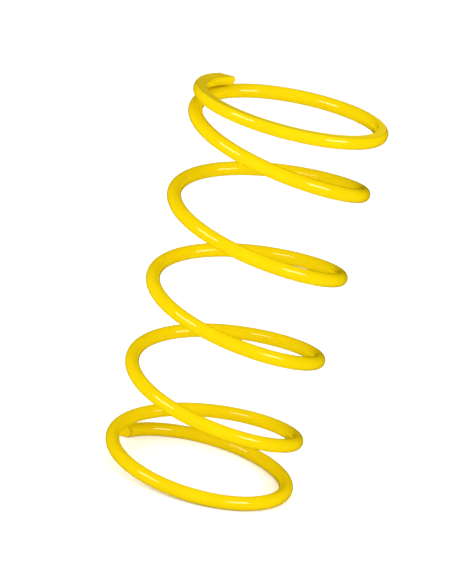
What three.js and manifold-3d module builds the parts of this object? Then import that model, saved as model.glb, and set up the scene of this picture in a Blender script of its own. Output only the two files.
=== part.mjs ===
// Coil spring: a left-hand helical compression spring of round wire, both ends closed and ground flat.
// Millimetres, +Z up. The spring axis is Z and the bottom seat is the plane z = 0.
//
// A place on the wire is given by its turn, counted from 0 at the bottom tip to TURNS at the top tip.
// The wire is cut on radial planes into a bottom end coil, ACTIVE_LENGTHS equal lengths of active
// wire, and a top end coil, because each of those moves by its own amount as the spring is compressed.
import * as THREE from "three";
import { mergeVertices } from "three/addons/utils/BufferGeometryUtils.js";
import Module from "manifold-3d";

const wasm = await Module();
wasm.setup();

// Driving dimensions.
const WIRE_DIAMETER = 11;
const MEAN_DIAMETER = 141;
const TURNS = 6.028;
const ACTIVE_PITCH = 69; // rise per turn of the open coils
const BOTTOM_TIP_ANGLE = 150.2; // degrees, anticlockwise from +X seen from above
const BOTTOM_FLARE = 1.0485; // how much wider the bottom tip is wound than the rest
const FLARE_TURNS = 0.85; // over which that extra width fades out
const TOP_BULGE = 1.019; // how much wider the top end coil is wound, at its widest, than the rest
const BULGE_TURNS = 1.14; // from the top tip, over which it widens and narrows again

// The two ends. From its tip each has closedTurns of closed coil, which rises by closedPitch per
// turn, then openingTurns over which the pitch opens to ACTIVE_PITCH. The tip itself stands tipLift
// proud of the closed coil, and groundOff is the depth of wire ground away at the tip. The cut across
// the tip is turned by cutSkew degrees from radial, anticlockwise seen from above, and undercut by cutLean.
const BOTTOM = {
  closedTurns: 0.553,
  closedPitch: 2.1,
  openingTurns: 0.57,
  tipLift: 0,
  groundOff: 1.5,
  cutSkew: 36,
  cutLean: 0,
};
const TOP = {
  closedTurns: 0.573,
  closedPitch: 0.9,
  openingTurns: 0.658,
  tipLift: 1.1,
  groundOff: 2.6,
  cutSkew: 40,
  cutLean: 6,
};
const TIP_LIFT_TURNS = 0.16; // over which a tip's lift fades out
const CUT_TURNS = 0.06; // over which the wire takes up the slant of the cut

// How the wire is divided. Lengths one turn apart begin and end at the same angle.
const ACTIVE_LENGTHS = 30;
const LENGTHS_PER_TURN = 8;
const GAP = 0.3; // left between neighbouring lengths of wire
const SIDES = 20; // of the wire's round section
const STEPS_PER_TURN = 40;

const PAINT = { color: 0xf9d404, roughness: 0.25, metalness: 0 };

const WIRE_RADIUS = WIRE_DIAMETER / 2;
const MEAN_RADIUS = MEAN_DIAMETER / 2;
const END_COIL_TURNS = (TURNS - ACTIVE_LENGTHS / LENGTHS_PER_TURN) / 2;
const HALF_GAP_TURNS = GAP / 2 / (Math.PI * MEAN_DIAMETER);

// The rise from a tip to a point that is this many turns along the wire from it.
function riseFromTip(turns, end) {
  const opening = THREE.MathUtils.clamp(turns - end.closedTurns, 0, end.openingTurns);
  const open = Math.max(turns - end.closedTurns - end.openingTurns, 0);
  const extraPitch = ACTIVE_PITCH - end.closedPitch;
  const lift = end.tipLift * THREE.MathUtils.smoothstep(turns, 0, TIP_LIFT_TURNS);
  const closedRise = end.closedPitch * turns + lift;
  return closedRise + extraPitch * (opening ** 2 / (2 * end.openingTurns) + open);
}

const BOTTOM_TIP_HEIGHT = WIRE_RADIUS - BOTTOM.groundOff;
const TOP_TIP_HEIGHT =
  BOTTOM_TIP_HEIGHT + riseFromTip(TURNS / 2, BOTTOM) + riseFromTip(TURNS / 2, TOP);
const FREE_LENGTH = TOP_TIP_HEIGHT + WIRE_RADIUS - TOP.groundOff;

// The height of the wire's centre.
function centreHeight(turn) {
  return turn < TURNS / 2
    ? BOTTOM_TIP_HEIGHT + riseFromTip(turn, BOTTOM)
    : TOP_TIP_HEIGHT - riseFromTip(TURNS - turn, TOP);
}

function coilRadius(turn) {
  const flare = (BOTTOM_FLARE - 1) * (1 - THREE.MathUtils.smoothstep(turn, 0, FLARE_TURNS));
  const fromTopTip = Math.min((TURNS - turn) / BULGE_TURNS, 1);
  const bulge = (TOP_BULGE - 1) * Math.sin(Math.PI * fromTopTip) ** 2;
  return MEAN_RADIUS * (1 + flare + bulge);
}

// A left-hand spring climbs clockwise, seen from above.
function angleAt(turn) {
  return THREE.MathUtils.degToRad(BOTTOM_TIP_ANGLE) - 2 * Math.PI * turn;
}

// The slope of the wire at a turn, as the cosine of its helix angle.
function slopeCosine(turn) {
  const rise = (centreHeight(turn + 0.005) - centreHeight(turn - 0.005)) / 0.01;
  return Math.cos(Math.atan(rise / (2 * Math.PI * MEAN_RADIUS)));
}

// The turn about the axis that the slanted cut at a tip gives to a corner of the section near it.
function cutAngle(turnsFromTip, end, outwards, upwards) {
  const near = Math.max(0, 1 - turnsFromTip / CUT_TURNS);
  const skew = outwards * Math.tan(THREE.MathUtils.degToRad(end.cutSkew));
  const lean = upwards * Math.tan(THREE.MathUtils.degToRad(end.cutLean));
  return (near * (skew + lean)) / MEAN_RADIUS;
}

// A straight bar of round section, wound into the stretch of wire between two turns.
function windWire(fromTurn, toTurn) {
  const section = new THREE.Shape();
  section.absarc(0, 0, WIRE_RADIUS, 0, 2 * Math.PI);
  const steps = Math.ceil((toTurn - fromTurn) * STEPS_PER_TURN);
  const wire = new THREE.ExtrudeGeometry(section, {
    depth: 1,
    steps,
    curveSegments: SIDES / 2, // a full circle gets twice as many sides as this
    bevelEnabled: false,
  });
  const corners = wire.getAttribute("position");
  for (let i = 0; i < corners.count; i += 1) {
    const outwards = corners.getX(i);
    const upwards = corners.getY(i);
    const turn = THREE.MathUtils.lerp(fromTurn, toTurn, corners.getZ(i));
    const angle =
      angleAt(turn) +
      cutAngle(turn, BOTTOM, outwards, upwards) +
      cutAngle(TURNS - turn, TOP, outwards, upwards);
    const radius = coilRadius(turn) + outwards;
    corners.setXYZ(
      i,
      radius * Math.cos(angle),
      radius * Math.sin(angle),
      centreHeight(turn) + upwards / slopeCosine(turn),
    );
  }
  return wire;
}

function solidOf(geometry) {
  const bare = geometry.clone();
  bare.deleteAttribute("normal");
  bare.deleteAttribute("uv");
  const merged = mergeVertices(bare, 1e-3);
  return new wasm.Manifold(
    new wasm.Mesh({
      numProp: 3,
      vertProperties: merged.getAttribute("position").array,
      triVerts: new Uint32Array(merged.getIndex().array),
    }),
  );
}

function geometryOf(solid) {
  const mesh = solid.getMesh();
  const geometry = new THREE.BufferGeometry();
  geometry.setAttribute("position", new THREE.BufferAttribute(mesh.vertProperties, 3));
  geometry.setIndex(new THREE.BufferAttribute(mesh.triVerts, 1));
  geometry.computeVertexNormals();
  return geometry;
}

// The part of a wire between the two seat planes, as grinding leaves it.
function grind(wire) {
  const width = 2 * MEAN_DIAMETER;
  const between = new THREE.BoxGeometry(width, width, FREE_LENGTH);
  between.translate(0, 0, FREE_LENGTH / 2);
  return geometryOf(solidOf(wire).intersect(solidOf(between)));
}

function piece(name, geometry) {
  const mesh = new THREE.Mesh(geometry, new THREE.MeshStandardMaterial(PAINT));
  mesh.name = name;
  return mesh;
}

// One end coil, from a tip to where the active wire begins.
function endCoil(name, fromTurn, toTurn) {
  return piece(name, grind(windWire(fromTurn, toTurn)));
}

function coilSpring() {
  const spring = new THREE.Group();
  spring.add(endCoil("bottom_end_coil", 0, END_COIL_TURNS - HALF_GAP_TURNS));
  for (let i = 0; i < ACTIVE_LENGTHS; i += 1) {
    const start = END_COIL_TURNS + i / LENGTHS_PER_TURN;
    const end = start + 1 / LENGTHS_PER_TURN;
    const name = `active_wire_${String(i + 1).padStart(2, "0")}`;
    spring.add(piece(name, windWire(start + HALF_GAP_TURNS, end - HALF_GAP_TURNS)));
  }
  spring.add(endCoil("top_end_coil", TURNS - END_COIL_TURNS + HALF_GAP_TURNS, TURNS));
  return spring;
}

export default coilSpring();
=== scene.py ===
"""The looks of a coil spring: one round wire, wound left-hand, in glossy yellow powder coat.

The wire is modelled again, finely, in the space of the CAD solids. A place on it is given by its
turn, from 0 at the bottom tip to TURNS at the top tip. Metres, +Z up, the bottom seat at z = 0.
"""

import math
from typing import NamedTuple

import bpy
import numpy as np
from mathutils import Matrix, Vector


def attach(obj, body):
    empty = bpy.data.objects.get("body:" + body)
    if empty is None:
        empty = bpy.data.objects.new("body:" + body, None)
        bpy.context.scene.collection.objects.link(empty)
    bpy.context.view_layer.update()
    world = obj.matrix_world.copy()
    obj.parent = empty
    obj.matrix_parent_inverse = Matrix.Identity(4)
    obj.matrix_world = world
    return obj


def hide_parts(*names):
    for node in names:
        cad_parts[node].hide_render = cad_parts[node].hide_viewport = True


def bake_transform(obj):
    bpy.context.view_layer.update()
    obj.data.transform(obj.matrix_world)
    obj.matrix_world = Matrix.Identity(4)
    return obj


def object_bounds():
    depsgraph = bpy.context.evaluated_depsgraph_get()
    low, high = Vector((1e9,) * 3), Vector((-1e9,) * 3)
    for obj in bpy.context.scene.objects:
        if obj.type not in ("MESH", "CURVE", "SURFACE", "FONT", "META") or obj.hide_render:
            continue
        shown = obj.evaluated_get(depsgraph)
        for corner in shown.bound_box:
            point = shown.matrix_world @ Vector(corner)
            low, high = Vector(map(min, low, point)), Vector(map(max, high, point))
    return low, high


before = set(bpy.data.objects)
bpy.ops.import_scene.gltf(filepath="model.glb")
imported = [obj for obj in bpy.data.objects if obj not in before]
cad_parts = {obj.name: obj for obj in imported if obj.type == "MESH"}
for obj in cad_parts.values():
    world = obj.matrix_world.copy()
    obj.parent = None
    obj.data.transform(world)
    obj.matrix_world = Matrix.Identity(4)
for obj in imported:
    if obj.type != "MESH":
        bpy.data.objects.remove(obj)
cad_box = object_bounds()

# The spring's dimensions, as in the CAD model.
WIRE_RADIUS = 0.0055
MEAN_RADIUS = 0.0705
TURNS = 6.028
ACTIVE_PITCH = 0.069
BOTTOM_TIP_ANGLE = math.radians(150.2)
BOTTOM_FLARE = 1.0485
FLARE_TURNS = 0.85
TOP_BULGE = 1.019
BULGE_TURNS = 1.14
TIP_LIFT_TURNS = 0.16
CUT_TURNS = 0.06
LENGTHS_PER_TURN = 8
LOW_BODY = "bottom_end_coil"
HIGH_BODY = "top_end_coil"


class End(NamedTuple):
    """One end of the wire: its closed coil, how its pitch opens from there, and its cut tip."""

    closed_turns: float
    closed_pitch: float  # metres a turn
    opening_turns: float
    tip_lift: float
    ground_off: float  # the depth ground away at the tip
    cut_skew: float  # degrees from radial, anticlockwise seen from above
    cut_lean: float  # degrees, as an undercut


BOTTOM = End(0.553, 0.0021, 0.57, 0.0, 0.0015, 36, 0)
TOP = End(0.573, 0.0009, 0.658, 0.0011, 0.0026, 40, 6)

ACTIVE_NODES = sorted(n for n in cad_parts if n.startswith("active_wire_"))
END_COIL_TURNS = (TURNS - len(ACTIVE_NODES) / LENGTHS_PER_TURN) / 2
FREE_LENGTH = cad_box[1].z
BOTTOM_TIP_HEIGHT = WIRE_RADIUS - BOTTOM.ground_off
TOP_TIP_HEIGHT = FREE_LENGTH - (WIRE_RADIUS - TOP.ground_off)

# How finely the surface is divided.
EDGE_RADIUS = 0.0003  # of the rounded edges round each ground face and each tip
EDGE_TURNS = EDGE_RADIUS / (2 * math.pi * MEAN_RADIUS)  # the same, as a stretch of wire
ARC_SIDES = 44
EDGE_SIDES = 3
FLAT_SIDES = 6
STEPS_PER_TURN = 192
PIECES_PER_LENGTH = 2
SLOPE_STRETCH = 0.01  # in turns, the stretch over which the wire's slope is taken
SLIVER = 0.9999  # in wire radii, how far down the flat is where nothing is ground off

# The places of the three materials on each piece.
PLAIN, FLAT, EDGE = 0, 1, 2


def smoothstep(value):
    t = min(max(value, 0), 1)
    return t * t * (3 - 2 * t)


def rise_from_tip(turns, end):
    """The rise from a tip to a point that is this many turns along the wire from it."""
    opening = min(max(turns - end.closed_turns, 0), end.opening_turns)
    opened = max(turns - end.closed_turns - end.opening_turns, 0)
    closed = end.closed_pitch * turns + end.tip_lift * smoothstep(turns / TIP_LIFT_TURNS)
    extra = ACTIVE_PITCH - end.closed_pitch
    return closed + extra * (opening**2 / (2 * end.opening_turns) + opened)


def centre_height(turn):
    if turn < TURNS / 2:
        return BOTTOM_TIP_HEIGHT + rise_from_tip(turn, BOTTOM)
    return TOP_TIP_HEIGHT - rise_from_tip(TURNS - turn, TOP)


def coil_radius(turn):
    flare = (BOTTOM_FLARE - 1) * (1 - smoothstep(turn / FLARE_TURNS))
    from_top_tip = min((TURNS - turn) / BULGE_TURNS, 1)
    bulge = (TOP_BULGE - 1) * math.sin(math.pi * from_top_tip) ** 2
    return MEAN_RADIUS * (1 + flare + bulge)


def helix_angle(turn):
    half = SLOPE_STRETCH / 2
    rise = (centre_height(turn + half) - centre_height(turn - half)) / SLOPE_STRETCH
    return math.atan(rise / (2 * math.pi * MEAN_RADIUS))


def centre(turn):
    """The middle of the wire. A left-hand spring climbs clockwise, seen from above."""
    angle = BOTTOM_TIP_ANGLE - 2 * math.pi * turn
    radius = coil_radius(turn)
    return Vector((radius * math.cos(angle), radius * math.sin(angle), centre_height(turn)))


def section(cut):
    """The wire's section, ground flat at a distance cut below its centre: points and normals.

    The points go anticlockwise from the right end of the flat: up over the round, down to the
    left end, and back along the flat. The flat's edges are rounded.
    """
    cut = min(cut, WIRE_RADIUS * SLIVER)
    edge_y = -cut + EDGE_RADIUS
    edge_x = math.sqrt(max((WIRE_RADIUS - EDGE_RADIUS) ** 2 - edge_y**2, 0))
    start = math.atan2(edge_y, edge_x)
    down = -math.pi / 2
    points, normals = [], []

    def arc(x, y, radius, first, last, sides):
        for i in range(sides):
            a = first + (last - first) * i / sides
            points.append((x + radius * math.cos(a), y + radius * math.sin(a)))
            normals.append((math.cos(a), math.sin(a)))

    arc(0, 0, WIRE_RADIUS, start, math.pi - start, ARC_SIDES)
    arc(-edge_x, edge_y, EDGE_RADIUS, math.pi - start, 2 * math.pi + down, EDGE_SIDES)
    for i in range(FLAT_SIDES):
        points.append((-edge_x + 2 * edge_x * i / FLAT_SIDES, -cut))
        normals.append((0.0, -1.0))
    arc(edge_x, edge_y, EDGE_RADIUS, down, start, EDGE_SIDES)
    return np.array(points), np.array(normals)


def section_at(turn, ground):
    """The section at a turn. ground says which side is ground, "bottom", "top" or None."""
    stretch = math.cos(helix_angle(turn))
    height = centre_height(turn)
    if ground == "top":
        points, normals = section((FREE_LENGTH - height) * stretch)
        return points[::-1] * (1, -1), normals[::-1] * (1, -1)
    if ground == "bottom":
        return section(height * stretch)
    a = np.linspace(0, 2 * math.pi, ARC_SIDES, endpoint=False)
    directions = np.column_stack((np.cos(a), np.sin(a)))
    return directions * WIRE_RADIUS, directions


def cut_angle(turns_from_tip, end, points):
    """The turn about the axis that the slanted cut at a tip gives to the points near it."""
    near = max(0, 1 - turns_from_tip / CUT_TURNS)
    slants = math.tan(math.radians(end.cut_skew)), math.tan(math.radians(end.cut_lean))
    return points @ slants * near / MEAN_RADIUS


def place(turn, points, normals):
    """Sets a section's points and normals across the wire at a turn."""
    slope = helix_angle(turn)
    slant = cut_angle(turn, BOTTOM, points) + cut_angle(TURNS - turn, TOP, points)
    angle = BOTTOM_TIP_ANGLE - 2 * math.pi * turn + slant
    radius = coil_radius(turn) + points[:, 0]
    zero = np.zeros(len(points))
    outward = np.column_stack((np.cos(angle), np.sin(angle), zero))
    onward = np.column_stack((np.sin(angle), -np.cos(angle), zero))
    upward = math.cos(slope) * np.array((0, 0, 1)) - math.sin(slope) * onward
    placed = outward * radius[:, None]
    placed[:, 2] = centre_height(turn) + points[:, 1] / math.cos(slope)
    return placed, outward * normals[:, :1] + upward * normals[:, 1:]


def onward_from(ring_points):
    """The direction in which a ring faces, along the wire from the bottom tip to the top."""
    total = np.cross(ring_points, np.roll(ring_points, -1, axis=0)).sum(axis=0)
    return total / np.linalg.norm(total)


class Surface:
    """Gathers rings of points, each with its normal, into one closed mesh."""

    def __init__(self):
        self.points, self.normals, self.faces, self.materials = [], [], [], []

    def add_ring(self, points, normals):
        first = len(self.points)
        self.points.extend(points)
        self.normals.extend(normals)
        return range(first, first + len(points))

    def join(self, low, high, coats):
        """The band of faces between two rings, each side of it in its own coat."""
        count = len(low)
        for i in range(count):
            j = (i + 1) % count
            self.faces.append((low[i], low[j], high[j], high[i]))
            self.materials.append(coats[i])

    def close(self, ring_points, direction, towards_start):
        """A flat end, with its own points so that its edge stays sharp."""
        ring = self.add_ring(ring_points, [direction] * len(ring_points))
        middle = len(self.points)
        self.points.append(np.mean(ring_points, axis=0))
        self.normals.append(direction)
        for i in range(len(ring)):
            j = (i + 1) % len(ring)
            face = (ring[j], ring[i], middle) if towards_start else (ring[i], ring[j], middle)
            self.faces.append(face)
            self.materials.append(PLAIN)

    def to_object(self, name, materials):
        mesh = bpy.data.meshes.new(name)
        mesh.from_pydata([tuple(p) for p in self.points], [], self.faces)
        for material in materials:
            mesh.materials.append(material)
        for polygon, index in zip(mesh.polygons, self.materials):
            polygon.use_smooth = True
            polygon.material_index = index
        mesh.update()
        lengths = np.linalg.norm(self.normals, axis=1)[:, None]
        mesh.normals_split_custom_set_from_vertices((np.array(self.normals) / lengths).tolist())
        obj = bpy.data.objects.new(name, mesh)
        bpy.context.scene.collection.objects.link(obj)
        return obj


def tip_rings(turn, ground, inwards):
    """The rings that round a tip's edge, from its side surface to its end face."""
    rings = []
    face = -inwards * onward_from(place(turn, *section_at(turn, ground))[0])
    for i in range(EDGE_SIDES + 1):
        a = math.pi / 2 * i / EDGE_SIDES
        at = turn + inwards * EDGE_TURNS * (1 - math.sin(a))
        points, normals = section_at(at, ground)
        middle = points.mean(axis=0)
        shrink = 1 - EDGE_RADIUS * (1 - math.cos(a)) / WIRE_RADIUS
        placed, sideways = place(at, middle + (points - middle) * shrink, normals)
        rings.append((placed, sideways * math.cos(a) + face * math.sin(a)))
    return rings, face


def coats_round(ground):
    """Which material each side of the section has."""
    if not ground:
        return [PLAIN] * ARC_SIDES
    coats = [PLAIN] * ARC_SIDES + [EDGE] * EDGE_SIDES + [FLAT] * FLAT_SIDES + [EDGE] * EDGE_SIDES
    if ground == "bottom":
        return coats
    turned = coats[::-1]
    return turned[1:] + turned[:1]


def wire(name, start, end, materials, ground=None):
    """A piece of wire from one turn to another. Its tip, if it has one, is rounded."""
    surface = Surface()
    first = start + (EDGE_TURNS if ground == "bottom" else 0)
    last = end - (EDGE_TURNS if ground == "top" else 0)
    steps = max(1, round((last - first) * STEPS_PER_TURN))
    rings = [place(t, *section_at(t, ground)) for t in np.linspace(first, last, steps + 1)]
    if ground == "bottom":
        tip, start_face = tip_rings(start, ground, 1)
        rings = tip[:0:-1] + rings
    else:
        start_face = -onward_from(rings[0][0])
    if ground == "top":
        tip, end_face = tip_rings(end, ground, -1)
        rings = rings + tip[1:]
    else:
        end_face = onward_from(rings[-1][0])
    coats = coats_round(ground)
    indices = [surface.add_ring(*ring) for ring in rings]
    for i, (low, high) in enumerate(zip(indices, indices[1:])):
        at_start = ground == "bottom" and i < EDGE_SIDES
        at_end = ground == "top" and i >= len(rings) - 1 - EDGE_SIDES
        surface.join(low, high, [EDGE] * len(low) if at_start or at_end else coats)
    surface.close(rings[0][0], start_face, towards_start=True)
    surface.close(rings[-1][0], end_face, towards_start=False)
    return surface.to_object(name, materials)


# ---------------------------------------------------------------- materials

# The yellow coat, from where it is thinnest to where it is thickest.
OPEN_COAT = (0.69, 0.495, 0.0004, 1), (0.74, 0.533, 0.0008, 1)
GROUND_COAT = (0.48, 0.345, 0.0002, 1), (0.55, 0.395, 0.0004, 1)
# Painted light: the ground faces' colour on their +X side, made lighter to stand in for the light
# that falls there.
PAINTED_LIGHT_GROUND_COAT = (0.68, 0.49, 0.0008, 1)
EDGE_COAT = (0.22, 0.150, 0.0002, 1), (0.34, 0.240, 0.0004, 1)
FLOOR_WHITE = (0.94, 0.94, 0.94, 1), (0.96, 0.96, 0.96, 1)

NOISE_RANGE = (0.3, 0.7)  # holds most of the values of a noise


class Shader:
    """A material in the making: its node tree, and the steps that the materials here share."""

    def __init__(self, name):
        self.material = bpy.data.materials.new(name)
        self.material.use_nodes = True
        self.nodes = self.material.node_tree.nodes
        self.links = self.material.node_tree.links
        self.inputs = self.nodes["Principled BSDF"].inputs
        self.where = self.nodes.new("ShaderNodeTexCoord").outputs["Object"]

    def feed(self, socket, value):
        """Gives a socket a number, a colour, or what comes out of another socket."""
        if isinstance(value, bpy.types.NodeSocket):
            self.links.new(value, socket)
        else:
            socket.default_value = value

    def put(self, name, value):
        """Feeds one input of the surface."""
        self.feed(self.inputs[name], value)

    def noise(self, scale, detail=2.0, where=None):
        """Noise with features of about 1 / scale metres."""
        texture = self.nodes.new("ShaderNodeTexNoise")
        self.feed(texture.inputs["Scale"], scale)
        self.feed(texture.inputs["Detail"], detail)
        self.feed(texture.inputs["Vector"], self.where if where is None else where)
        return texture.outputs["Fac"]

    def spread(self, value, old_range, new_range=(0, 1)):
        """A number that goes over its new range as a value goes over its old one."""
        node = self.nodes.new("ShaderNodeMapRange")
        ends = zip(("From Min", "From Max", "To Min", "To Max"), (*old_range, *new_range))
        for name, number in ends:
            self.feed(node.inputs[name], number)
        self.feed(node.inputs["Value"], value)
        return node.outputs["Result"]

    def drift(self, scale, detail=2.0, new_range=(0, 1)):
        """A noise that wanders over the whole of a range."""
        return self.spread(self.noise(scale, detail), NOISE_RANGE, new_range)

    def across(self, axis):
        """One coordinate, from 0 on the spring's low side to 1 on its high side."""
        parts = self.nodes.new("ShaderNodeSeparateXYZ")
        self.feed(parts.inputs["Vector"], self.where)
        return self.spread(parts.outputs[axis], (-MEAN_RADIUS, MEAN_RADIUS))

    def mix(self, factor, first, second):
        """The first colour where the factor is 0, and the second where it is 1."""
        node = self.nodes.new("ShaderNodeMix")
        node.data_type = "RGBA"
        self.feed(node.inputs["A"], first)
        self.feed(node.inputs["B"], second)
        self.feed(node.inputs["Factor"], factor)
        return node.outputs["Result"]

    def bump(self, height, strength, distance):
        """Fine relief, whose full depth is a distance in metres."""
        node = self.nodes.new("ShaderNodeBump")
        self.feed(node.inputs["Strength"], strength)
        self.feed(node.inputs["Distance"], distance)
        self.feed(node.inputs["Height"], height)
        self.put("Normal", node.outputs["Normal"])


def powder_coat():
    """Glossy yellow powder coat: an orange-peel skin over slow drifts in thickness."""
    coat = Shader("yellow_powder_coat")
    coat.put("Base Color", coat.mix(coat.drift(22, detail=3), *OPEN_COAT))
    coat.put("Roughness", coat.drift(260, new_range=(0.085, 0.10)))
    coat.put("Specular IOR Level", 0.5)
    coat.bump(coat.noise(650, detail=1), strength=0.03, distance=0.00005)
    return coat.material


def ground_face():
    """The same coat on the ground faces: darker and duller, over fine grinding marks."""
    coat = Shader("yellow_coat_on_ground_face")
    near_tips = coat.mix(coat.drift(60, detail=4), *GROUND_COAT)
    # Painted light: the flat's colour grows lighter towards +X, away from the tips, standing in for
    # a gradient of light across the flat.
    coat.put("Base Color", coat.mix(coat.across("X"), near_tips, PAINTED_LIGHT_GROUND_COAT))
    coat.put("Roughness", coat.drift(400, new_range=(0.45, 0.6)))
    coat.put("Specular IOR Level", 0.02)
    # The grinding wheel leaves marks along one direction, so the noise is stretched that way.
    squeeze = coat.nodes.new("ShaderNodeMapping")
    coat.feed(squeeze.inputs["Scale"], (1, 14, 1))
    coat.feed(squeeze.inputs["Rotation"], (0, 0, 0.6))
    coat.feed(squeeze.inputs["Vector"], coat.where)
    marks = coat.noise(90, detail=3, where=squeeze.outputs["Vector"])
    coat.bump(marks, strength=0.25, distance=0.00008)
    return coat.material


def dark_edge_coat():
    """The same coat on the sharp edges, in a much darker yellow."""
    coat = Shader("yellow_coat_on_edges")
    coat.put("Base Color", coat.mix(coat.drift(300), *EDGE_COAT))
    coat.put("Roughness", 0.4)
    coat.put("Specular IOR Level", 0.2)
    return coat.material


def floor_material():
    """Matt white, lit a little from below like a light table, which keeps the shadows faint."""
    white = Shader("white_floor")
    white.put("Base Color", white.mix(white.noise(3), *FLOOR_WHITE))
    white.put("Roughness", 0.9)
    white.put("Specular IOR Level", 0.1)
    white.put("Emission Color", (1, 1, 1, 1))
    white.put("Emission Strength", 0.15)
    return white.material


# ---------------------------------------------------------------- the spring


def build_end_coils(materials):
    bottom = wire("bottom_coil", 0, END_COIL_TURNS, materials, ground="bottom")
    top = wire("top_coil", TURNS - END_COIL_TURNS, TURNS, materials, ground="top")
    for piece, body in ((bottom, LOW_BODY), (top, HIGH_BODY)):
        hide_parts(body)
        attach(piece, body)


def build_active_wire(material):
    """The active wire, in short pieces that take the place of the CAD's active lengths.
    """
    count = len(ACTIVE_NODES) * PIECES_PER_LENGTH
    turns_each = 1 / (LENGTHS_PER_TURN * PIECES_PER_LENGTH)
    for i in range(count):
        start = END_COIL_TURNS + i * turns_each
        node = ACTIVE_NODES[i // PIECES_PER_LENGTH]
        name = f"{node}_part_{i % PIECES_PER_LENGTH + 1}"
        piece = wire(name, start, start + turns_each, [material])
        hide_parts(node)
        low, high = centre(start), centre(start + turns_each)
        low.z = high.z = 0
        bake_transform(piece)


def build_spring():
    coat = powder_coat()
    build_end_coils([coat, ground_face(), dark_edge_coat()])
    build_active_wire(coat)


# ---------------------------------------------------------------- floor, camera and light


def aim(obj, target, roll=0.0):
    """Turns a camera or a light to face a target, and then about its own line of sight."""
    back = (obj.location - target).normalized()
    turned = back.to_track_quat("Z", "Y").to_matrix()
    rotation = turned @ Matrix.Rotation(roll, 3, "Z")
    obj.matrix_world = Matrix.LocRotScale(obj.location, rotation, None)


FLOOR_HALF_WIDTH = 12.0
FLOOR_DROP = 0.0002  # below the bottom seat, so that the two faces don't coincide


def build_floor():
    mesh = bpy.data.meshes.new("floor")
    half = FLOOR_HALF_WIDTH
    corners = [(-half, -half, 0), (half, -half, 0), (half, half, 0), (-half, half, 0)]
    mesh.from_pydata(corners, [], [(0, 1, 2, 3)])
    mesh.materials.append(floor_material())
    floor = bpy.data.objects.new("floor", mesh)
    floor.location.z = -FLOOR_DROP
    floor.visible_glossy = False
    bpy.context.scene.collection.objects.link(floor)


def build_camera():
    data = bpy.data.cameras.new("camera")
    data.sensor_width = 36
    data.lens = 203.03
    data.clip_end = 50
    camera = bpy.data.objects.new("camera", data)
    bpy.context.scene.collection.objects.link(camera)
    distance = 2.5557
    elevation = math.radians(16.558)
    target = Vector((-0.0125, 0, TOP_TIP_HEIGHT - 0.15426))
    offset = Vector((0, -math.cos(elevation), math.sin(elevation))) * distance
    camera.location = Vector((0, 0, target.z)) + offset
    aim(camera, target, roll=math.radians(14.585))
    bpy.context.scene.camera = camera


SOFTBOX_WATTS = 8


def add_softbox(name, azimuth, elevation, distance, width, height, glossy=True):
    """An area light that faces the spring's middle. Azimuth is in degrees to the camera's right."""
    data = bpy.data.lights.new(name, "AREA")
    data.shape = "RECTANGLE"
    data.size, data.size_y = width, height
    data.energy = SOFTBOX_WATTS
    light = bpy.data.objects.new(name, data)
    bpy.context.scene.collection.objects.link(light)
    a, e = math.radians(azimuth), math.radians(elevation)
    middle = Vector((0, 0, FREE_LENGTH / 2))
    direction = Vector((math.sin(a) * math.cos(e), -math.cos(a) * math.cos(e), math.sin(e)))
    light.location = middle + direction * distance
    aim(light, middle)
    light.visible_glossy = glossy


def build_light():
    world = bpy.data.worlds.new("studio")
    world.use_nodes = True
    background = world.node_tree.nodes["Background"]
    background.inputs["Color"].default_value = (1, 1, 1, 1)
    background.inputs["Strength"].default_value = 1.0
    bpy.context.scene.world = world
    world.cycles_visibility.glossy = False
    # The two side boxes make the streaks on the coat. The one overhead makes none.
    side = {"elevation": 24, "distance": 1.6, "width": 0.75, "height": 0.5}
    above = {"elevation": 62, "distance": 2.4, "width": 2.2, "height": 2.2}
    add_softbox("left_box", azimuth=-52, **side)
    add_softbox("right_box", azimuth=62, **side)
    add_softbox("overhead", azimuth=-10, glossy=False, **above)
    bpy.context.scene.view_settings.view_transform = "Standard"


build_spring()
build_floor()
build_camera()
build_light()
